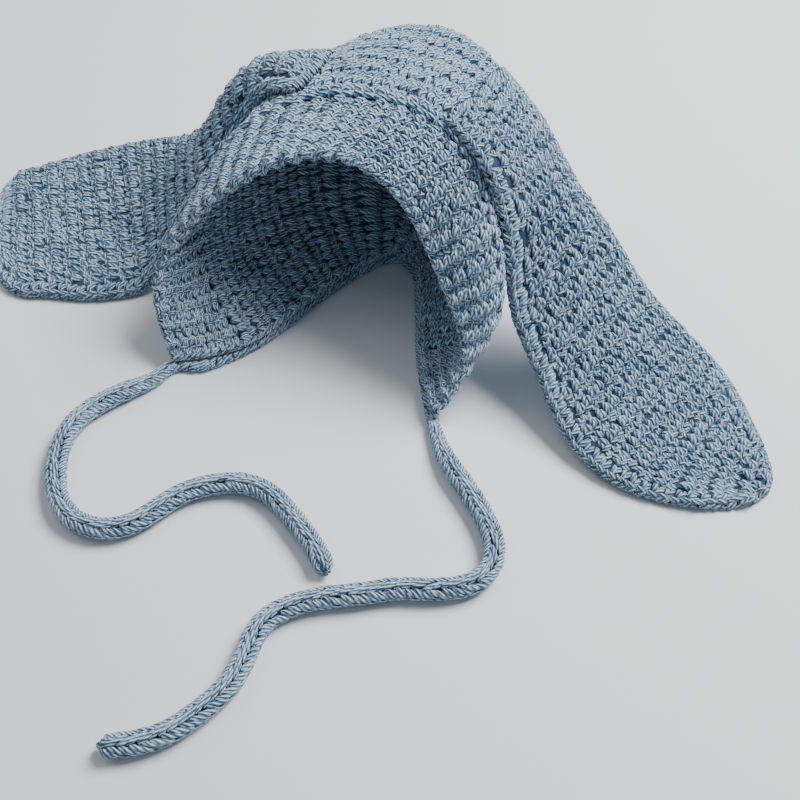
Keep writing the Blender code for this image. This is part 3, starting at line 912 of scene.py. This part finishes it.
def ear_cells(width, length, skew):
    """Stitches of an ear: rows across it, two to a ridge, inside the border along its front edge
    and round its tip. They lean toward the root at the back edge by the skew. Every few rows the
    first stitch stands off the border and leaves a hole."""
    rows = []
    total = 2 * EAR_RIDGES
    lean = int(np.ceil(skew / 2 * total))
    for row in range(-lean, total + lean):
        v = (row + 0.5) / total
        wide = np.interp(v, np.linspace(0, 1, len(width)), width)
        hole = EAR_HOLE if row % EAR_HOLE_ROWS == 0 else 0
        begin = (EAR_BORDER + hole) / wide
        count = max(2, round(wide * (1 - begin) / EAR_STITCH))
        step = (1 - begin) / count
        cells = np.zeros((count, 6))
        cells[:, 0] = begin + (np.arange(count) + 0.5) * step
        cells[:, 1] = v - skew * (cells[:, 0] - 0.5)
        cells[:, 2] = step
        cells[:, 3] = -skew * step
        cells[:, 5] = 1 / total
        rows.append(cells[(cells[:, 1] > 0) & (cells[:, 1] < 1 - EAR_BORDER / length)])
    return rows


def border_cells(front, width, length):
    """The bigger stitches of an ear's border, at even steps along its front edge and then across
    its tip."""
    along = np.linspace(0, 1, len(width))
    reached = run_length(front)
    last = np.interp(1 - EAR_BORDER / length, along, reached)
    count = round(last / BORDER_STITCH)
    step = last / count
    begin, v, end = [np.interp((np.arange(count) + s) * step, reached, along) for s in (0, 0.5, 1)]
    wide = np.interp(v, along, width)
    side = np.zeros((count, 6))
    side[:, 0] = EAR_BORDER / 2 / wide
    side[:, 1] = v
    side[:, 3] = end - begin
    side[:, 4] = -EAR_BORDER / wide
    middle = 1 - EAR_BORDER / 2 / length
    tip_wide = np.interp(middle, along, width)
    tip = line_cells(max(3, round(tip_wide / BORDER_STITCH)), middle, EAR_BORDER / length)
    return np.r_[side, tip]


def rows_of(surface, rows, half, seed, tables, **finish):
    """All the rows of a cloth, its tables of strands taken in turn."""
    found = []
    for turn, table in enumerate(tables):
        cells = np.concatenate(rows[turn :: len(tables)])
        found.append(strands(surface, cells, table, half, seed + turn, **finish))
    return merged(found)


def brim(yarn, core):
    """The ribbed band: its core, and the stitches of both sides with the wrapped edges."""
    ribbed = shell_surface(BRIM_RIBS, BRIM_RIB_DEPTH)
    depth = BRIM_DEPTH / HOOPS[-1][0]
    slab = cloth_slab(ribbed, (0, depth), BRIM_CORE_GRID, BRIM_HALF * CORE_SHARE)
    cloth = piece("brim_cloth", [slab], [core], node="brim")
    rows = brim_cells()
    tables = [STITCH_FRONT, STITCH_BACK]
    outside = rows_of(ribbed, rows, BRIM_HALF, SEEDS["brim_outside"], tables)
    inside = rows_of(ribbed, rows, BRIM_HALF, SEEDS["brim_inside"], tables, face=-1, sides=INNER_SIDES)
    face_edge = even_points(ribbed[0][0][::EDGE_STEP], FACE_EDGE_POINTS)
    edge = edge_wraps(face_edge, EDGE_SHARE * BRIM_HALF, SEEDS["brim_edge"])
    feet = foot_wraps(shell_surface(), 0, depth, BRIM_HALF, SEEDS["brim_feet"])
    stitches = piece("brim_stitches", [merged([outside, inside, edge, feet])], [yarn])


def crown(yarn, core):
    """The top, the sides and the back: the core, the stitches outside with the chain beside the
    brim and the wrapped lower edges, and the stitches inside."""
    plain = shell_surface()
    depth = HOOPS[-1][0]
    slab = cloth_slab(plain, (CROWN_FIRST / depth, 1), CROWN_CORE_GRID, CROWN_HALF * CORE_SHARE)
    cloth = piece("crown_cloth", [slab], [core], node="crown")
    rows = crown_cells()
    tables = [STITCH_FRONT, STITCH_BACK]
    finish = {"radius": CROWN_YARN, "loose": CROWN_LOOSE}
    outside = rows_of(plain, rows, CROWN_HALF, SEEDS["crown_outside"], tables, **finish)
    chain = strands(plain, chain_cells(), CHAIN, CROWN_HALF, SEEDS["crown_chain"])
    feet = foot_wraps(plain, BRIM_DEPTH / depth, 1, CROWN_HALF, SEEDS["crown_feet"])
    tables = [STITCH_INSIDE, STITCH_BACK]
    finish = {"face": -1, "sides": INNER_SIDES}
    inside = rows_of(plain, rows, CROWN_HALF, SEEDS["crown_inside"], tables, **finish)
    outer = piece("crown_stitches", [merged([outside, chain, feet])], [yarn])
    inner = piece("crown_inside", [inside], [yarn])


def ear_edge(grid, swell, seed):
    """The strands that wrap an ear's edge, from the root along the front, round the tip and back.
    A bell curve over the swell's place makes it fuller and lower there."""
    rim = np.r_[grid[:, 0], grid[-1, 1:], grid[-2::-1, -1]]
    rim = even_points(rim[:: len(rim) // EAR_EDGE_KNOTS], EAR_EDGE_POINTS)
    more, place, spread = swell
    from_place = (run_length(rim) - place) / spread
    fuller = more * np.exp(-from_place * from_place)
    lowered = rim - SWELL_DROP * fuller[:, None] * (0, 0, 1)
    return edge_wraps(lowered, EDGE_SHARE * EAR_HALF + fuller, seed)


def ear(name, sections, swell, skew, ridge_depth, yarn, core):
    """An ear: its core, the stitches on top with the border, the row that sews the root down and
    the wrapped edge, and the stitches underneath."""
    surface, share, width, length = ear_surface(sections, skew, ridge_depth)
    at = np.linspace(0, 1, len(share))
    seed = SEEDS[name]

    def half(v):
        """Half the thickness at v, from the sections' shares."""
        return EAR_HALF * np.interp(v, at, share)

    def core_half(v):
        """Half the thickness of the plain core at v."""
        return EAR_CORE_SHARE * half(v)

    slab = cloth_slab(surface, (0, 1), EAR_CORE_GRID, core_half)
    cloth = piece(name + "_cloth", [slab], [core], node=name)
    rows = ear_cells(width, length, skew)
    border = border_cells(surface[0][:, 0], width, length)
    root = line_cells(round(width[0] / EAR_STITCH), 0, 0.5 / EAR_RIDGES)
    tables = [STITCH_FRONT, STITCH_BACK]
    top = merged(
        [
            rows_of(surface, rows, half, seed, tables, radius=EAR_YARN, loose=EAR_LOOSE),
            strands(surface, border, BORDER, half, seed + BORDER_LATER),
            strands(surface, root, SEWN, half, seed + ROOT_LATER),
            ear_edge(surface[0], swell, seed + EDGE_LATER),
        ]
    )
    seed += UNDER_LATER
    finish = {"face": -1, "sides": INNER_SIDES}
    under = merged(
        [
            rows_of(surface, rows, half, seed, [STITCH_INSIDE], **finish),
            strands(surface, border, STITCH_INSIDE, half, seed + BORDER_LATER, **finish),
        ]
    )
    upper = piece(name + "_stitches", [top], [yarn])
    lower = piece(name + "_underside", [under], [yarn])


def stand(obj, place, aim):
    """Put a camera or a lamp at a place, looking at the aim with its top up."""
    ahead = unit(np.array(aim) - place)
    right = unit(np.cross(ahead, (0, 0, 1)))
    matrix = np.eye(4)
    matrix[:3, :3] = np.stack([right, np.cross(right, ahead), -ahead], 1)
    matrix[:3, 3] = place
    obj.matrix_world = Matrix(matrix.tolist())
    bpy.context.scene.collection.objects.link(obj)


def camera():
    """The camera that the photograph was taken with, as it was fitted."""
    data = bpy.data.cameras.new("camera")
    data.lens = CAMERA_LENS
    data.sensor_width = CAMERA_SENSOR
    data.clip_start = CAMERA_NEAR
    obj = bpy.data.objects.new("camera", data)
    stand(obj, CAMERA_AT, CAMERA_AIM)
    bpy.context.scene.camera = obj


def stage():
    """A pale floor under a faint sky, with a strong lamp above, behind and to the right, and a weak
    one above to the left."""
    bpy.ops.mesh.primitive_plane_add(size=FLOOR_SIZE, location=(0, 0, FLOOR_LEVEL))
    floor = bpy.context.object
    floor.name = "floor"
    material, _, shader = new_material("pale_floor")
    shader.inputs["Base Color"].default_value = FLOOR_COLOUR
    shader.inputs["Roughness"].default_value = FLOOR_ROUGHNESS
    floor.data.materials.append(material)
    sky = bpy.data.worlds.new("studio")
    sky.use_nodes = True
    background = sky.node_tree.nodes["Background"]
    background.inputs["Color"].default_value = SKY_COLOUR
    background.inputs["Strength"].default_value = SKY_STRENGTH
    bpy.context.scene.world = sky
    for name, place, size, power in LAMPS:
        data = bpy.data.lights.new(name, "AREA")
        data.size = size
        data.energy = power
        stand(bpy.data.objects.new(name, data), place, (0, 0, 0))


def build():
    """The camera, the materials, every piece of the bonnet, and the stage."""
    camera()
    group = yarn_group()
    yarn = yarn_material("blue_yarn", group, YARN_LIT, YARN_SHEEN)
    # The ears get a darker copy of the yarn, as painted shade.
    shaded_ear_yarn = yarn_material("ear_shaded_blue_yarn", group, EAR_LIT_SHADED, EAR_SHEEN)
    core = shade_core_material()
    tie("tie_left", TIE_LEFT_ROUTE, [core, yarn])
    tie("tie_right", TIE_RIGHT_ROUTE, [core, yarn])
    neck_edging([core, yarn])
    brim(yarn, core)
    crown(yarn, core)
    ear("ear_left", EAR_LEFT, SWELL_LEFT, SKEW_LEFT, RIDGE_DEPTH_LEFT, shaded_ear_yarn, core)
    ear("ear_right", EAR_RIGHT, SWELL_RIGHT, SKEW_RIGHT, RIDGE_DEPTH_RIGHT, shaded_ear_yarn, core)
    stage()


build()
